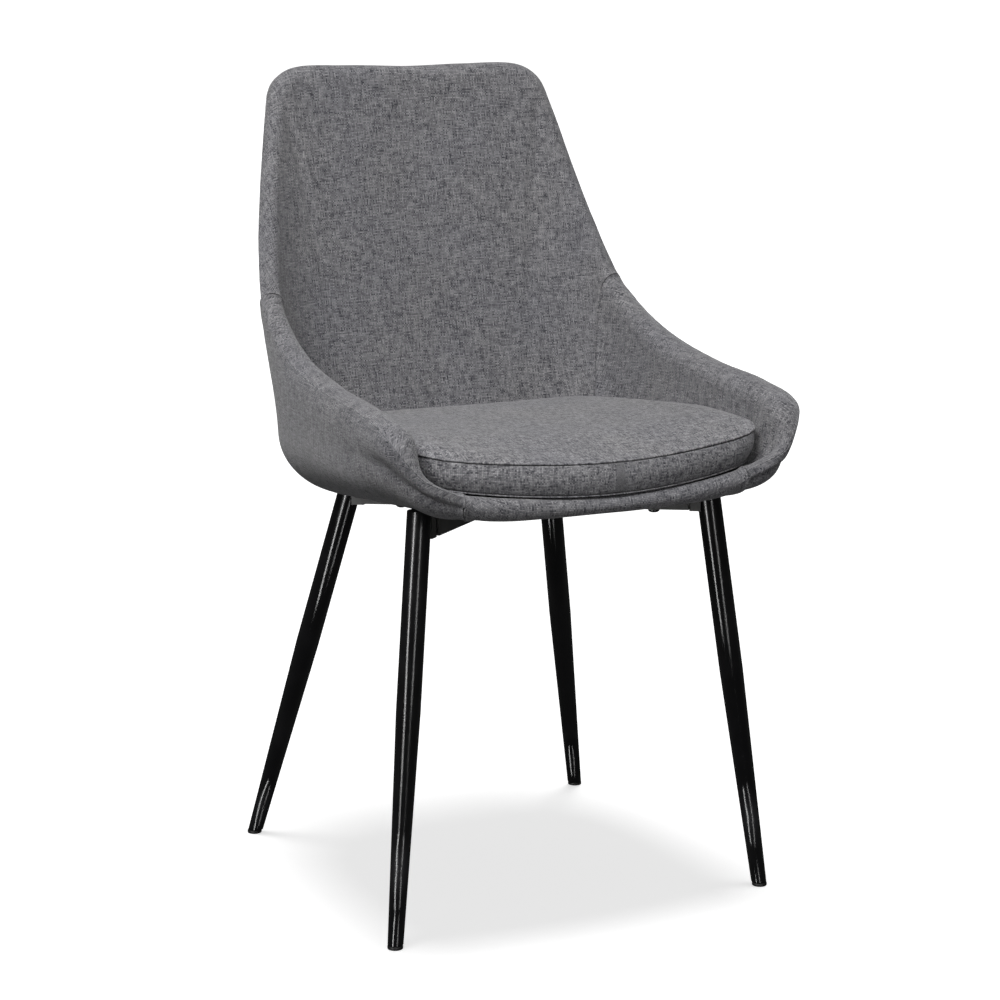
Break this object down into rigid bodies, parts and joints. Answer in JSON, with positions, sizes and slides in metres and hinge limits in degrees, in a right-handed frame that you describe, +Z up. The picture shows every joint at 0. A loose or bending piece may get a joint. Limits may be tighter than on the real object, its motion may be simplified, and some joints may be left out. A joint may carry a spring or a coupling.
{
  "type": "dining chair",
  "caption": "Upholstered bucket dining chair with low sloping arms, a boxed seat cushion and tapered round steel legs on a cross frame.",
  "frame": {"origin": "on the floor, below the middle of the overall width and depth", "axes": "+Z up, the sitter faces -Y, +X is the sitter's left"},
  "size_m": [0.4798, 0.5214, 0.862],
  "materials": {
    "woven_cover": "mid-grey melange plain weave",
    "base_cloth": "black non-woven cloth",
    "foam": "soft open foam",
    "shell_plastic": "matte moulded",
    "black_steel": "satin black powder coat",
    "zinc_steel": "zinc plated",
    "glide_plastic": "matte black"
  },
  "bodies": {
    "root": {"cross_bar_front_half": "black_steel", "cross_bar_long": "black_steel", "cross_bar_rear_half": "black_steel", "cushion_bottom_panel": "woven_cover", "cushion_boxing": "woven_cover", "cushion_foam": "foam", "cushion_top_panel": "woven_cover", "deck_cloth": "base_cloth", "dust_cloth": "base_cloth", "front_band": "woven_cover", "glide_front_left": "glide_plastic", "glide_front_right": "glide_plastic", "glide_rear_left": "glide_plastic", "glide_rear_right": "glide_plastic", "inner_back_cover": "woven_cover", "inner_padding": "foam", "inner_shell": "shell_plastic", "inner_side_cover_left": "woven_cover", "inner_side_cover_right": "woven_cover", "leg_bolt_front_left": "black_steel", "leg_bolt_front_right": "black_steel", "leg_bolt_rear_left": "black_steel", "leg_bolt_rear_right": "black_steel", "leg_bolt_washer_front_left": "zinc_steel", "leg_bolt_washer_front_right": "zinc_steel", "leg_bolt_washer_rear_left": "zinc_steel", "leg_bolt_washer_rear_right": "zinc_steel", "leg_front_left": "black_steel", "leg_front_right": "black_steel", "leg_plate_front_left": "black_steel", "leg_plate_front_right": "black_steel", "leg_plate_rear_left": "black_steel", "leg_plate_rear_right": "black_steel", "leg_rear_left": "black_steel", "leg_rear_right": "black_steel", "leg_tongue_front_left": "zinc_steel", "leg_tongue_front_right": "zinc_steel", "leg_tongue_rear_left": "zinc_steel", "leg_tongue_rear_right": "zinc_steel", "outer_back_cover": "woven_cover", "outer_padding": "foam", "outer_side_cover_left": "woven_cover", "outer_side_cover_right": "woven_cover", "seat_bolt_front_left": "black_steel", "seat_bolt_front_right": "black_steel", "seat_bolt_rear_left": "black_steel", "seat_bolt_rear_right": "black_steel", "seat_bolt_washer_front_left": "zinc_steel", "seat_bolt_washer_front_right": "zinc_steel", "seat_bolt_washer_rear_left": "zinc_steel", "seat_bolt_washer_rear_right": "zinc_steel", "threaded_insert_front_left": "zinc_steel", "threaded_insert_front_right": "zinc_steel", "threaded_insert_rear_left": "zinc_steel", "threaded_insert_rear_right": "zinc_steel"}
  },
  "joints": []
}
